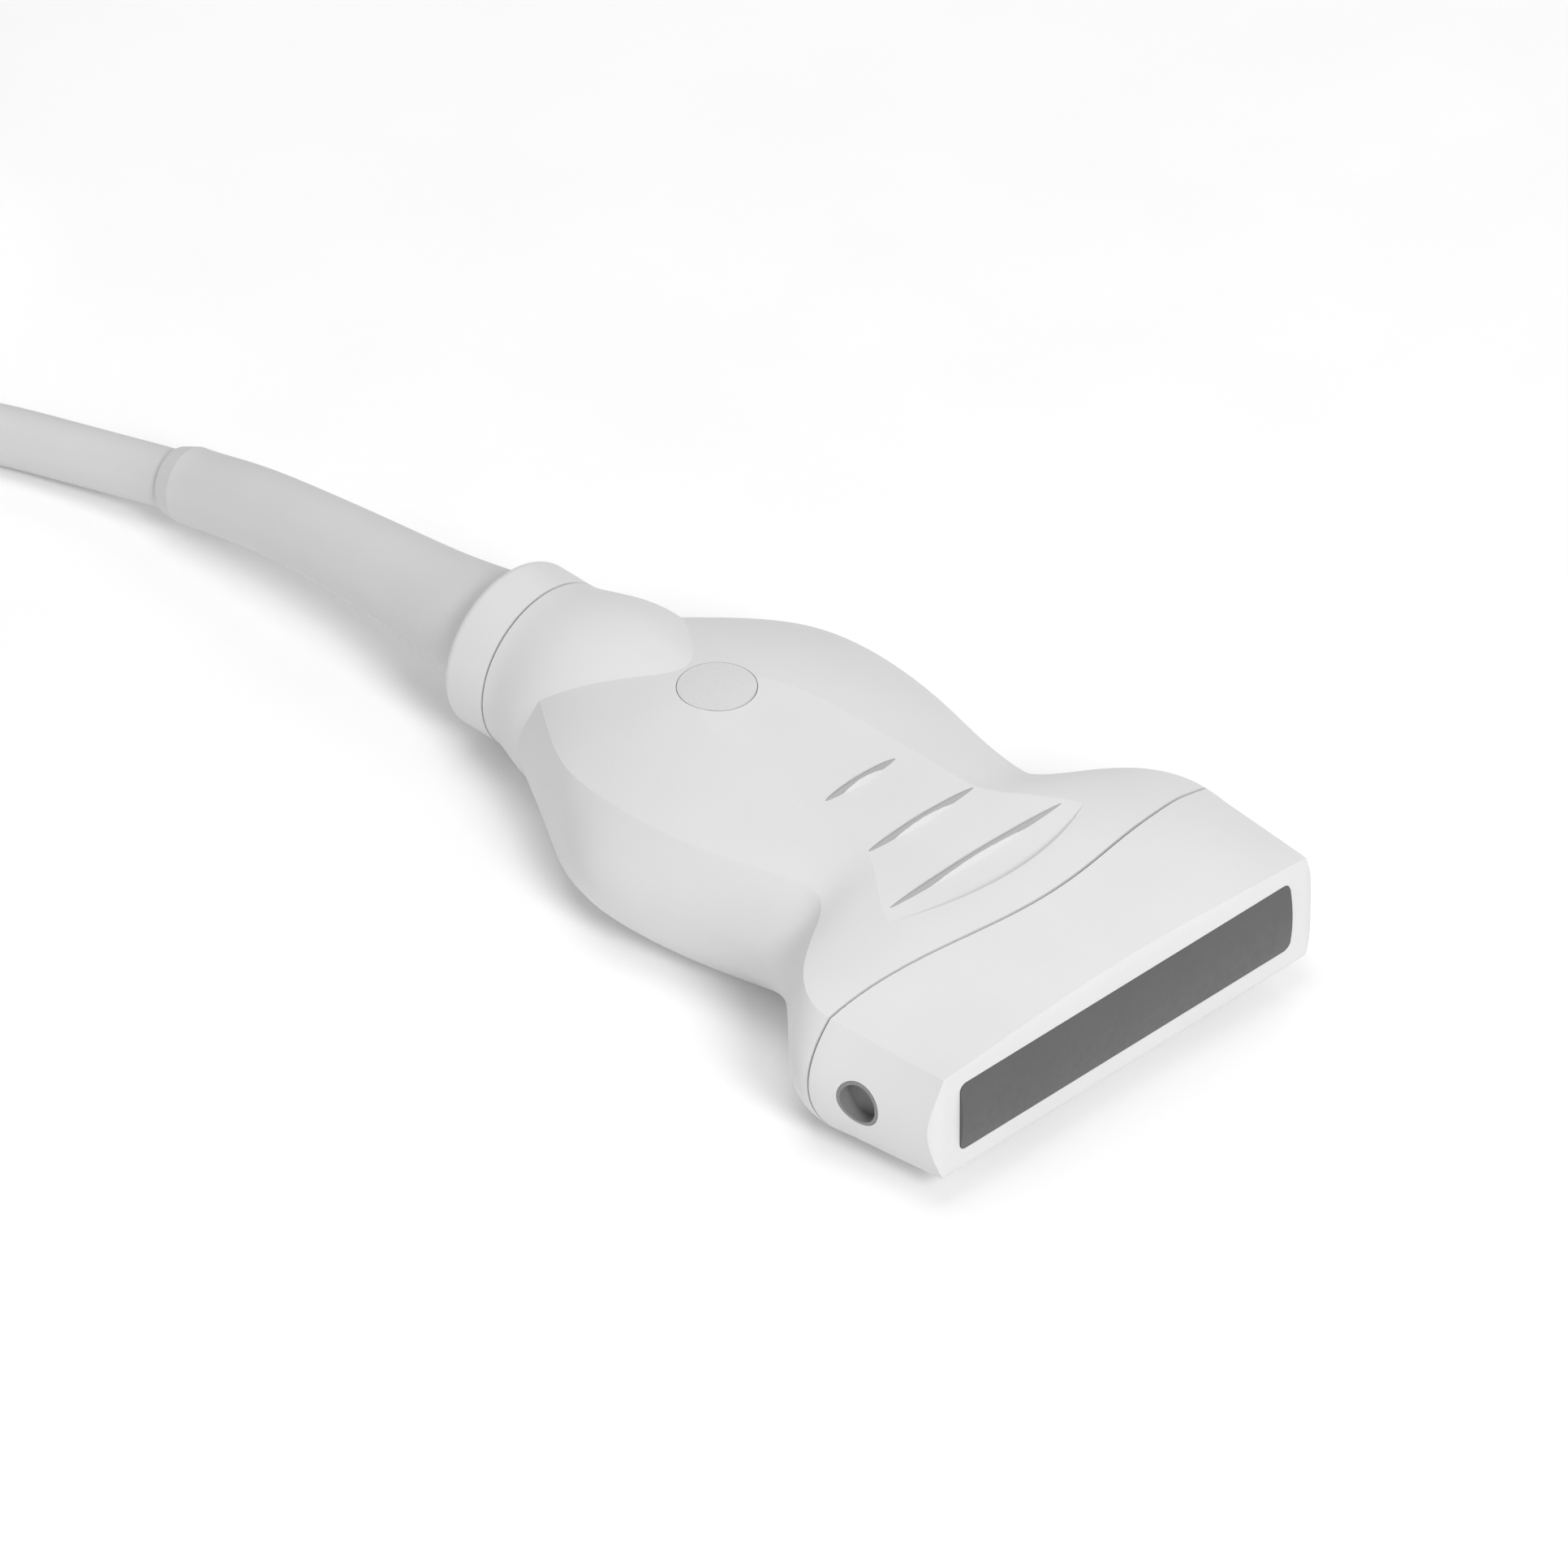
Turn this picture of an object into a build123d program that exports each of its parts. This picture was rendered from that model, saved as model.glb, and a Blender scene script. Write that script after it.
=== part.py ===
from build123d import *
import math
import os

# A hand-held linear-array ultrasound probe with its lead and plug, in millimetres. Stations are
# measured back from the front rim of the nose, and heights of the probe from its mid-plane.

# Outer form of the nose, waist and handle. Flanks and shoulders set the creases in from the sides and top,
# and a keel sets the lower creases further down than the upper ones.
NOSE_RIM = 4.1
NOSE_LIP = 2.95
NOSE_FRONT_FLANK = 1.5
NOSE_FRONT_SHOULDER = 0.8
NOSE_FRONT_KEEL = 0.4
NOSE_FRONT_EDGE = 1.5
NOSE_FRONT_CORNER = 2.5
NOSE_STATION = 18.0
NOSE_SPREAD = 2.9
NOSE_FLANK = 3.4
NOSE_SHOULDER = 3.9
NOSE_KEEL = 1.3
BODY_HEIGHT = 21.6
BELT_DROP = 0.4
WAIST_STATION = 36.5
WAIST_WIDTH = 42.4
WAIST_SWELL = 0.8
WAIST_FLANK = 5.0
WAIST_SHOULDER = 2.9
HANDLE_STATION = 62.0
HANDLE_WIDTH = 47.0
HANDLE_SWELL = 2.0
HANDLE_FLANK = 3.4
HANDLE_SHOULDER = 3.9
TAIL_WIDTH = 16.0
TAIL_DROP = 8.6
TAIL_FLANK = 2.0
TAIL_SHOULDER = 2.5
TONGUE_STATION = 64.0
TONGUE_TIP_WIDTH = 15.0
TONGUE_TIP_DROP = 1.8
NECK_ROOT_STATION = 82.0
NECK_ROOT_WIDTH = 25.4
NECK_ROOT_SWELL = 2.2
NECK_END = 91.0
NECK_END_DIAMETER = 20.5
WALL = 2.0
FIT = 0.1

# Shares of the way between key cross-sections for station, side, crease, upper crease, lower crease, crown
RUNOUT_SHARES = [
    (-0.50, -0.62, -0.60, -0.40, -0.50, -0.70),
    (-0.25, -0.30, -0.30, -0.20, -0.25, -0.34),
]
NOSE_SHARES = [
    (0.25, 0.29, 0.29, 0.20, 0.25, 0.33),
    (0.50, 0.57, 0.57, 0.42, 0.50, 0.62),
    (0.75, 0.83, 0.83, 0.70, 0.75, 0.86),
]
WAIST_SHARES = [
    (0.33, 0.36, 0.24, 0.40, 0.20, 0.10),
    (0.53, 0.66, 0.63, 0.70, 0.40, 0.30),
    (0.74, 0.90, 1.00, 0.90, 0.70, 0.70),
]
HANDLE_SHARES = [(0.45, 0.42, 0.74, 0.60, 0.50, 0.50)]
TAIL_SHARES = [
    (0.27, 0.25, 0.12, 0.12, 0.12, 0.08),
    (0.53, 0.50, 0.45, 0.30, 0.30, 0.32),
    (0.80, 0.81, 0.81, 0.65, 0.65, 0.66),
]

# The same for the round neck: station, half width, half height
TONGUE_SHARES = [(0.33, 0.56, 0.80), (0.67, 0.87, 1.05)]
NECK_SHARES = [(0.50, 0.45, 0.48)]

# Curved seam between the nose piece and the two shells
SEAM_STATION = 12.4
SEAM_SWEEP = 4.2
SEAM_SPAN = 30.0
SEAM_POINTS = 9
SEAM_GAP = 0.35
SEAL_RECESS = 0.35
SPIGOT_LENGTH = 5.0
SPIGOT_WALL = 1.3

# Acoustic lens and the layers behind it
LENS_LENGTH = 52.0
LENS_HEIGHT = 9.1
LENS_CORNER = 1.0
LENS_BULGE = 0.5
LENS_DEPTH = 1.5
LENS_FIT = 0.05
LENS_OVERHANG = 2.0
LENS_LEDGE = 0.85
MATCHING_THICKNESS = 0.3
FOIL_THICKNESS = 0.1
ELEMENT_COUNT = 80
ELEMENT_KERF = 0.08
ELEMENT_MARGIN = 0.8
ELEMENT_LEDGE = 0.2
ELEMENT_THICKNESS = 0.5
BACKING_DEPTH = 8.0
SPREADER_DEPTH = 1.5
FLEX_THICKNESS = 0.16
FLEX_MARGIN = 1.0
FLEX_SHOULDER = 1.5
FRAME_WALL = 0.55
FRAME_END_ROOM = 0.65
FRAME_SIDE_ROOM = 0.2

# Blind locating hole in the side of the nose
LOCATOR_STATION = 10.2
LOCATOR_RADIUS = 2.4
LOCATOR_DEPTH = 1.8
LOCATOR_FLOOR = 0.8
LOCATOR_WALL = 0.4

# Thumb rest, grip ridges and the blank round inlay on the upper shell
SCOOP_STATION = 48.6
SCOOP_RADIUS = 31.0
SCOOP_SINK = 0.5
SCOOP_SLOPE = 2.6
RIDGE_STATIONS = (41.5, 32.0, 23.4)
RIDGE_LENGTHS = (11.0, 16.5, 27.0)
RIDGE_BULGE = 0.9
RIDGE_SINK = 0.45
INLAY_STATION = 64.1
INLAY_DIAMETER = 9.2
INLAY_DEPTH = 0.9

# Interconnect board inside the handle
BOARD_WIDTH = 22.0
BOARD_FRONT = 24.0
BOARD_BACK = 62.0
BOARD_THICKNESS = 1.6
BOARD_INSET = 2.6
SOCKET_WIDTH = 19.0
SOCKET_DEPTH = 3.6
SOCKET_HEIGHT = 2.0
POST_RADIUS = 2.3
SCREW_RADIUS = 1.0
SCREW_HEAD_RADIUS = 1.8
SCREW_HEAD_HEIGHT = 1.2
SCREW_LENGTH = 5.0
BUNDLE_WIDTH = 17.0
BUNDLE_HEIGHT = 4.6

# Cable gland, collar and strain relief
CABLE_DIAMETER = 7.0
CABLE_START = 84.0
BORE_FIT = 0.06
FERRULE_LENGTH = 6.5
FERRULE_WALL = 1.1
GLAND_STATION = 85.5
HOLLOW_END = 80.0
CHANNEL_FRONT = 70.0
COLLAR_SPIGOT_RADIUS = 8.3
COLLAR_GAP = 0.3
COLLAR_LENGTH = 6.5
COLLAR_REAR_DIAMETER = 18.4
COLLAR_LIP = 1.6
BOOT_FLANGE = 1.6
BOOT_LARGE_DIAMETER = 15.0
BOOT_SMALL_DIAMETER = 9.0
BOOT_LENGTH = 52.5
BOOT_STEP = 2.2
BOOT_SHARES = [(0.10, 0.20), (0.22, 0.50), (0.36, 0.70), (0.52, 0.84), (0.70, 0.93), (0.84, 0.975)]

# Coil of the put-away lead and its tie
COIL_X = -9.0
COIL_Y = 189.5
COIL_COLUMNS = 2
COIL_LAYERS = 4
COIL_INNER_RADIUS = 28.0
COIL_EDGE = 3.0
TIE_WIDTH = 14.0
TIE_THICKNESS = 0.8
TIE_FIT = 0.1

# Plug at the far end of the lead
PLUG_X = -33.0
PLUG_Y = 253.0
PLUG_WIDTH = 35.0
PLUG_LENGTH = 47.0
PLUG_HEIGHT = 18.0
PLUG_CORNER = 5.0
PLUG_EDGE = 1.6
PLUG_WALL = 2.2
PLUG_BOARD_LENGTH = 26.0
PLUG_BOARD_THICKNESS = 1.6
TONGUE_WIDTH = 24.0
TONGUE_HEIGHT = 4.0
TONGUE_REACH = 7.0
STRIP_COUNT = 14
STRIP_PITCH = 1.6
STRIP_WIDTH = 0.9
STRIP_THICKNESS = 0.2
PLUG_BOOT_LENGTH = 13.0
PLUG_BOOT_DIAMETER = 12.0
PLUG_SCREW_RADIUS = 1.0
PLUG_SCREW_LENGTH = 12.0
PLUG_SCREW_HEAD_RADIUS = 1.8
PLUG_SCREW_HEAD_HEIGHT = 1.4
PLUG_SCREW_SINK = 0.6
PLUG_SCREW_SPACING = 22.0

# Route of the lead, point by point, in the part's own frame
LEAD_ROUTE = [
    (0.0, 35.5, 10.8),
    (0.0, 53.5, 10.8),
    (0.0, 69.5, 10.5),
    (0.0, 85.5, 9.0),
    (-0.4, 99.5, 6.2),
    (-2.8, 112.5, 4.1),
    (-7.0, 125.5, 3.5),
    (-14.5, 138.5, 3.5),
    (-25.0, 149.5, 3.6),
    (-36.0, 159.5, 3.9),
    (-44.2, 170.8, 4.3),
]
TAIL_ROUTE = [
    (-44.2, 170.8, 11.3),
    (-47.8, 191.0, 11.3),
    (-45.6, 210.0, 10.4),
    (-39.8, 224.5, 9.2),
    (-34.8, 236.5, 9.0),
    (-33.0, 247.5, 9.0),
    (-33.0, 258.0, 9.0),
]

# Sizes that follow from those above
NOSE_FRONT_WIDTH = LENS_LENGTH + 2 * NOSE_RIM
NOSE_FRONT_HEIGHT = LENS_HEIGHT + 2 * NOSE_LIP
NOSE_WIDTH = NOSE_FRONT_WIDTH + 2 * NOSE_SPREAD
WAIST_HEIGHT = BODY_HEIGHT + WAIST_SWELL
HANDLE_HEIGHT = BODY_HEIGHT + HANDLE_SWELL
TAIL_HEIGHT = BODY_HEIGHT - TAIL_DROP
TONGUE_TIP_HEIGHT = BODY_HEIGHT - TONGUE_TIP_DROP
NECK_ROOT_HEIGHT = BODY_HEIGHT + NECK_ROOT_SWELL
LAYER_LENGTH = LENS_LENGTH - 2 * LENS_OVERHANG
LAYER_HEIGHT = LENS_HEIGHT - 2 * LENS_LEDGE
ELEMENT_PITCH = (LAYER_LENGTH - 2 * ELEMENT_MARGIN) / ELEMENT_COUNT
ELEMENT_HEIGHT = LAYER_HEIGHT - 2 * ELEMENT_LEDGE
FRAME_LENGTH = LAYER_LENGTH + 2 * (FRAME_END_ROOM + FRAME_WALL)
FRAME_HEIGHT = LAYER_HEIGHT + 2 * (FRAME_SIDE_ROOM + FRAME_WALL)
COLLAR_END = NECK_END + COLLAR_LENGTH
COLLAR_SPIGOT_LENGTH = COLLAR_LENGTH - COLLAR_LIP - BOOT_FLANGE - 3 * FIT
SCOOP_HEIGHT = (WAIST_HEIGHT + HANDLE_HEIGHT) / 4 - SCOOP_SINK
MID_STATION = (COLLAR_END - LENS_BULGE) / 2
MID_HEIGHT = BODY_HEIGHT / 2
CABLE_RADIUS = CABLE_DIAMETER / 2
FERRULE_RADIUS = CABLE_RADIUS + BORE_FIT + FERRULE_WALL
COIL_WIDTH = COIL_COLUMNS * CABLE_DIAMETER
COIL_HEIGHT = COIL_LAYERS * CABLE_DIAMETER
COIL_OUTER_RADIUS = COIL_INNER_RADIUS + COIL_WIDTH
REACH = 4 * NOSE_WIDTH
STANDING = (Align.CENTER, Align.CENTER, Align.MIN)
HANGING = (Align.CENTER, Align.CENTER, Align.MAX)
GUARD_FLARE = 20.0


# Key cross-sections: station, side, crease, upper crease height, lower crease depth, crown
def key_section(station, width, flank, height, shoulder, keel=0.0):
    """Cross-section from its full width and height, with the creases set in by the flank and shoulder."""
    rise = height / 2 - shoulder
    return (station, width / 2, width / 2 - flank, rise, rise + keel, height / 2)


def between(start, end, shares):
    """Cross-sections on the way from one key section to the next, each measure at its own share of it."""
    rows = []
    for row in shares:
        rows.append(tuple(a + (b - a) * share for a, b, share in zip(start, end, row)))
    return rows


FRONT = key_section(
    0.0, NOSE_FRONT_WIDTH, NOSE_FRONT_FLANK, NOSE_FRONT_HEIGHT, NOSE_FRONT_SHOULDER, NOSE_FRONT_KEEL
)
NOSE = key_section(NOSE_STATION, NOSE_WIDTH, NOSE_FLANK, BODY_HEIGHT, NOSE_SHOULDER, NOSE_KEEL)
WAIST = key_section(WAIST_STATION, WAIST_WIDTH, WAIST_FLANK, WAIST_HEIGHT, WAIST_SHOULDER)
HANDLE = key_section(HANDLE_STATION, HANDLE_WIDTH, HANDLE_FLANK, HANDLE_HEIGHT, HANDLE_SHOULDER)
TAIL = key_section(NECK_END, TAIL_WIDTH, TAIL_FLANK, TAIL_HEIGHT, TAIL_SHOULDER)
SECTIONS = [
    *between(FRONT, NOSE, RUNOUT_SHARES),
    FRONT,
    *between(FRONT, NOSE, NOSE_SHARES),
    NOSE,
    *between(NOSE, WAIST, WAIST_SHARES),
    WAIST,
    *between(WAIST, HANDLE, HANDLE_SHARES),
    HANDLE,
    *between(HANDLE, TAIL, TAIL_SHARES),
    TAIL,
]

FORWARD_SECTIONS = SECTIONS[: SECTIONS.index(HANDLE) + 1]

# The round neck and its tongue: station, half width, half height
TONGUE_TIP = (TONGUE_STATION, TONGUE_TIP_WIDTH / 2, TONGUE_TIP_HEIGHT / 2)
NECK_ROOT = (NECK_ROOT_STATION, NECK_ROOT_WIDTH / 2, NECK_ROOT_HEIGHT / 2)
NECK_REAR = (NECK_END, NECK_END_DIAMETER / 2, NECK_END_DIAMETER / 2)
NECK_SECTIONS = [
    TONGUE_TIP,
    *between(TONGUE_TIP, NECK_ROOT, TONGUE_SHARES),
    NECK_ROOT,
    *between(NECK_ROOT, NECK_REAR, NECK_SHARES),
    NECK_REAR,
]


def cross_plane(station):
    """Plane across the probe at a station, facing the front."""
    return Plane(origin=(0, station, 0), x_dir=(1, 0, 0), z_dir=(0, -1, 0))


def block(width, height, front, back, x=0.0, z=0.0):
    """Box between two stations, centred at x and z."""
    return Pos(x, (front + back) / 2, z) * Box(width, back - front, height)


def rod(radius, front, back):
    """Round bar on the probe's axis between two stations."""
    return extrude(cross_plane(back) * Circle(radius), back - front)


def rounded_bar(width, height, corner, front, back):
    """Bar of rounded rectangular section between two stations."""
    return extrude(cross_plane(back) * RectangleRounded(width, height, corner), back - front)


def bow(start, peak, end):
    """Smooth bowed edge from start to end that passes through the peak at its middle."""
    pull = tuple(2 * middle - (first + last) / 2 for first, middle, last in zip(start, peak, end))
    return Bezier(start, pull, end)


def body_section(section, inset):
    """Outline of crowned top and bottom edges and bowed flanks that meet in four creases."""
    station = section[0]
    side, crease, rise, keel, crown = (measure - inset for measure in section[1:])
    edges = [
        bow((-crease, rise), (0, crown), (crease, rise)),
        bow((crease, rise), (side, -BELT_DROP), (crease, -keel)),
        bow((crease, -keel), (0, -crown), (-crease, -keel)),
        bow((-crease, -keel), (-side, -BELT_DROP), (-crease, rise)),
    ]
    return cross_plane(station) * make_face(edges)


def body_form(inset=0.0, sections=SECTIONS):
    """Nose, waist and handle as one lofted form, drawn in by the inset all round."""
    return loft([body_section(section, inset) for section in sections])


def front_guard(half_size, corner):
    """Plane outline, open to the rear, whose two front corners are rounded."""
    flared = half_size + REACH * math.tan(math.radians(GUARD_FLARE))
    outline = Polyline((-half_size, 0), (half_size, 0), (flared, REACH), (-flared, REACH), close=True)
    face = make_face(outline)
    return fillet(face.vertices().sort_by(Axis.Y)[:2], corner)


def neck_form():
    """Round neck whose front runs into the handle as a tongue."""
    return loft([cross_plane(s) * Ellipse(w, h) for s, w, h in NECK_SECTIONS])


def behind_seam(offset):
    """Everything behind the seam, which sweeps back from the middle to both ends, set back by the offset."""
    line = []
    for index in range(SEAM_POINTS):
        x = SEAM_SPAN * (2 * index / (SEAM_POINTS - 1) - 1)
        sweep_back = SEAM_SWEEP * (1 - math.cos(math.pi * x / SEAM_SPAN)) / 2
        line.append((x, SEAM_STATION + offset + sweep_back))
    curve = Spline(*line, tangents=((1, 0), (1, 0)))
    rear = Polyline(
        line[-1],
        (REACH, line[-1][1]),
        (REACH, REACH),
        (-REACH, REACH),
        (-REACH, line[0][1]),
        line[0],
    )
    return extrude(make_face([curve, *rear.edges()]), REACH, both=True)


def half(shape, keep):
    """The part of a shape above or below the mid-plane."""
    return split(shape, bisect_by=Plane.XY, keep=keep)


def cord_path(points):
    """Straight runs joined by tangent arcs, each as large as its two runs allow."""
    corners = [Vector(*point) for point in points]
    radii = []
    for before, corner, after in zip(corners, corners[1:], corners[2:]):
        turn = math.radians((corner - before).get_angle(after - corner))
        shorter = min((corner - before).length, (after - corner).length)
        radii.append(0.45 * shorter / math.tan(turn / 2))
    print("cord radii", [round(radius) for radius in radii])
    return FilletPolyline(*points, radius=radii)


def section_on(path, distance, radius):
    """Round section square to a path, a distance along it."""
    where = path.position_at(distance, position_mode=PositionMode.LENGTH)
    heading = path.tangent_at(distance, position_mode=PositionMode.LENGTH)
    return Plane(origin=where, z_dir=heading) * Circle(radius)


def tube(path, radius):
    """Round cord along a path."""
    return sweep(section_on(path, 0, radius), path=path)


def taper(path, sizes):
    """Tapering sleeve along a path, through the given distances and radii."""
    return loft([section_on(path, distance, radius) for distance, radius in sizes])


def write(name, shape, placed=Location()):
    """One file for each piece, moved from the probe's stations to the part's frame."""
    export_step(placed * shape, f"parts/{name}.step")


os.makedirs("parts", exist_ok=True)
probe_place = Pos(0, -MID_STATION, MID_HEIGHT)

# Outer form: lofted body with a rounded front rim, the neck, and a belly trimmed level to rest on
level = Pos(0, 0, REACH / 2 - MID_HEIGHT) * Box(REACH, REACH, REACH)
plan_guard = extrude(front_guard(NOSE_FRONT_WIDTH / 2, NOSE_FRONT_CORNER), REACH, both=True)
side_plane = Plane(origin=(0, 0, 0), x_dir=(0, 0, 1), z_dir=(-1, 0, 0))
side_guard = extrude(side_plane * front_guard(NOSE_FRONT_HEIGHT / 2, NOSE_FRONT_EDGE), REACH, both=True)
outer = (body_form() + neck_form()) & level & plan_guard & side_guard

# Nose piece with its spigot, stack pocket, lens window and locating hole
spigot_inset = WALL + FIT
spigot = (body_form(spigot_inset) & behind_seam(0)) - behind_seam(SPIGOT_LENGTH)
nose_core = body_form(spigot_inset + SPIGOT_WALL, FORWARD_SECTIONS)
nose_hollow = nose_core & block(REACH, REACH, LENS_DEPTH + SPIGOT_WALL, REACH)
layers_depth = 2 * MATCHING_THICKNESS + FOIL_THICKNESS + ELEMENT_THICKNESS
frame_back = LENS_DEPTH + layers_depth + BACKING_DEPTH + SPREADER_DEPTH
locator_x = NOSE_FRONT_WIDTH / 2 + (NOSE_WIDTH - NOSE_FRONT_WIDTH) / 2 * LOCATOR_STATION / NOSE_STATION
locator_lean = math.atan((NOSE_WIDTH - NOSE_FRONT_WIDTH) / 2 / NOSE_STATION)
locator_out = (-math.cos(locator_lean), -math.sin(locator_lean), 0)
locator_plane = Plane(origin=(-locator_x, LOCATOR_STATION, -BELT_DROP), x_dir=(0, 0, 1), z_dir=locator_out)
bush_radius = LOCATOR_RADIUS + LOCATOR_WALL
bush_depth = LOCATOR_DEPTH + LOCATOR_FLOOR


def locator_rod(radius, depth):
    """Round bar into the side of the nose, from outside it to a depth."""
    return extrude(locator_plane.offset(-depth) * Circle(radius), depth + WALL)


nose = (outer - behind_seam(0)) + spigot - nose_hollow
nose -= block(FRAME_LENGTH + 2 * FIT, FRAME_HEIGHT + 2 * FIT, LENS_DEPTH, frame_back)
window = (LENS_LENGTH + 2 * LENS_FIT, LENS_HEIGHT + 2 * LENS_FIT)
nose -= rounded_bar(*window, LENS_CORNER, -WALL, LENS_DEPTH)
nose -= locator_rod(bush_radius + LENS_FIT, bush_depth)
write("nose_piece", nose, probe_place)

bush = (locator_rod(bush_radius, bush_depth) & outer) - locator_rod(LOCATOR_RADIUS, LOCATOR_DEPTH)
write("locator_bush", bush, probe_place)

seal = (body_form(SEAL_RECESS) & behind_seam(0)) - behind_seam(SEAM_GAP) - body_form(WALL)
write("nose_seal", seal & level, probe_place)

# Acoustic stack, front to back
lens_radius = ((LENS_HEIGHT / 2) ** 2 + LENS_BULGE**2) / (2 * LENS_BULGE)
crown = Pos(0, lens_radius - LENS_BULGE, 0) * Rot(0, 90, 0) * Cylinder(lens_radius, REACH)
lens = rounded_bar(LENS_LENGTH, LENS_HEIGHT, LENS_CORNER, -LENS_BULGE, LENS_DEPTH) & crown
write("acoustic_lens", lens, probe_place)

station = LENS_DEPTH
for layer_name in ("matching_layer_outer", "matching_layer_inner"):
    layer = block(LAYER_LENGTH, LAYER_HEIGHT, station, station + MATCHING_THICKNESS)
    write(layer_name, layer, probe_place)
    station += MATCHING_THICKNESS
foil = block(LAYER_LENGTH, LAYER_HEIGHT, station, station + FOIL_THICKNESS)
write("ground_foil", foil, probe_place)
station += FOIL_THICKNESS

element_width = ELEMENT_PITCH - ELEMENT_KERF
elements = []
for index in range(ELEMENT_COUNT):
    element_x = (index - (ELEMENT_COUNT - 1) / 2) * ELEMENT_PITCH
    element = block(element_width, ELEMENT_HEIGHT, station, station + ELEMENT_THICKNESS, element_x)
    elements.append(element.solid())
write("piezo_array", Compound(elements), probe_place)
station += ELEMENT_THICKNESS
backing_front = station
backing = block(LAYER_LENGTH, LAYER_HEIGHT, station, station + BACKING_DEPTH)
write("backing_block", backing, probe_place)
station += BACKING_DEPTH
spreader = block(LAYER_LENGTH, LAYER_HEIGHT, station, station + SPREADER_DEPTH)
write("heat_spreader", spreader, probe_place)

frame = block(FRAME_LENGTH, FRAME_HEIGHT, LENS_DEPTH, frame_back)
frame -= block(FRAME_LENGTH - 2 * FRAME_WALL, FRAME_HEIGHT - 2 * FRAME_WALL, 0, REACH)
write("array_frame", frame, probe_place)

# Flexible circuits that run from the array along the backing to the board's sockets
board_top = BOARD_THICKNESS / 2
socket_mid = board_top + SOCKET_HEIGHT / 2
flex_high = LAYER_HEIGHT / 2
flex_bend = frame_back + FLEX_THICKNESS
flex_wide = LAYER_LENGTH / 2 - FLEX_MARGIN
flex_narrow = SOCKET_WIDTH / 2 - FLEX_MARGIN
flex_side = make_face(
    Polyline(
        (backing_front, flex_high),
        (flex_bend, flex_high),
        (BOARD_FRONT, socket_mid),
        (BOARD_FRONT, socket_mid + FLEX_THICKNESS),
        (flex_bend + FLEX_THICKNESS, flex_high + FLEX_THICKNESS),
        (backing_front, flex_high + FLEX_THICKNESS),
        close=True,
    )
)
flex_plan = make_face(
    Polyline(
        (-flex_wide, 0),
        (flex_wide, 0),
        (flex_wide, backing_front + FLEX_SHOULDER),
        (flex_narrow, frame_back + FLEX_SHOULDER),
        (flex_narrow, BOARD_FRONT),
        (-flex_narrow, BOARD_FRONT),
        (-flex_narrow, frame_back + FLEX_SHOULDER),
        (-flex_wide, backing_front + FLEX_SHOULDER),
        close=True,
    )
)
flex_sheet = extrude(Plane.YZ * flex_side, LAYER_LENGTH / 2, both=True)
flex = flex_sheet & extrude(flex_plan, REACH)
write("signal_flex_upper", flex, probe_place)
write("signal_flex_lower", mirror(flex, about=Plane.XY), probe_place)

socket = block(SOCKET_WIDTH, SOCKET_HEIGHT, BOARD_FRONT, BOARD_FRONT + SOCKET_DEPTH, z=socket_mid)
write("flex_socket_upper", socket, probe_place)
write("flex_socket_lower", mirror(socket, about=Plane.XY), probe_place)

# Board on four posts of the lower shell
post_x = BOARD_WIDTH / 2 - BOARD_INSET
post_front = BOARD_FRONT + SOCKET_DEPTH + BOARD_INSET
post_back = BOARD_BACK - BOARD_INSET
post_places = [Pos(x, s, 0) for x in (-post_x, post_x) for s in (post_front, post_back)]
board = block(BOARD_WIDTH, BOARD_THICKNESS, BOARD_FRONT, BOARD_BACK)
screws = []
posts = []
for place in post_places:
    board -= place * Cylinder(SCREW_RADIUS + FIT, REACH)
    head = Pos(0, 0, board_top) * Cylinder(SCREW_HEAD_RADIUS, SCREW_HEAD_HEIGHT, align=STANDING)
    shank = Pos(0, 0, board_top) * Cylinder(SCREW_RADIUS, SCREW_LENGTH, align=HANGING)
    screws.append((place * (head + shank)).solid())
    post = Pos(0, 0, -board_top) * Cylinder(POST_RADIUS, REACH, align=HANGING)
    posts.append(place * (post - Cylinder(SCREW_RADIUS + FIT, 2 * (SCREW_LENGTH + FIT))))
write("interconnect_board", board, probe_place)
write("board_screws", Compound(screws), probe_place)

bundle_back = cross_plane(CABLE_START) * Circle(CABLE_RADIUS)
bundle_front = cross_plane(BOARD_BACK) * RectangleRounded(BUNDLE_WIDTH, BUNDLE_HEIGHT, BUNDLE_HEIGHT / 3)
write("coax_bundle", loft([bundle_front, bundle_back]), probe_place)

# Upper and lower shells: hollow, with a solid gland at the neck and a spigot for the collar
hollow = body_form(WALL) & block(REACH, REACH, 0, HOLLOW_END)
channel = rod(NECK_END_DIAMETER / 2 - WALL, CHANNEL_FRONT, GLAND_STATION)
ferrule_front = CABLE_START
ferrule_back = CABLE_START + FERRULE_LENGTH
shell = (outer & behind_seam(SEAM_GAP)) - hollow - channel
shell += rod(COLLAR_SPIGOT_RADIUS, NECK_END - WALL, NECK_END + COLLAR_SPIGOT_LENGTH)
shell -= rod(FERRULE_RADIUS + FIT, ferrule_front, ferrule_back + FIT)
shell -= rod(CABLE_RADIUS + 2 * FIT, ferrule_back, NECK_END + COLLAR_LENGTH)

scoop_plane = Plane(origin=(0, SCOOP_STATION, SCOOP_HEIGHT)).rotated((SCOOP_SLOPE, 0, 0))
scoop = extrude(scoop_plane * Circle(SCOOP_RADIUS), MID_HEIGHT)
inlay_floor = HANDLE_HEIGHT / 2 - INLAY_DEPTH
inlay_place = Pos(0, INLAY_STATION, inlay_floor)
inlay = inlay_place * Cylinder(INLAY_DIAMETER / 2 - FIT, MID_HEIGHT, align=STANDING) & outer
write("inlay_disc", inlay, probe_place)


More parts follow.
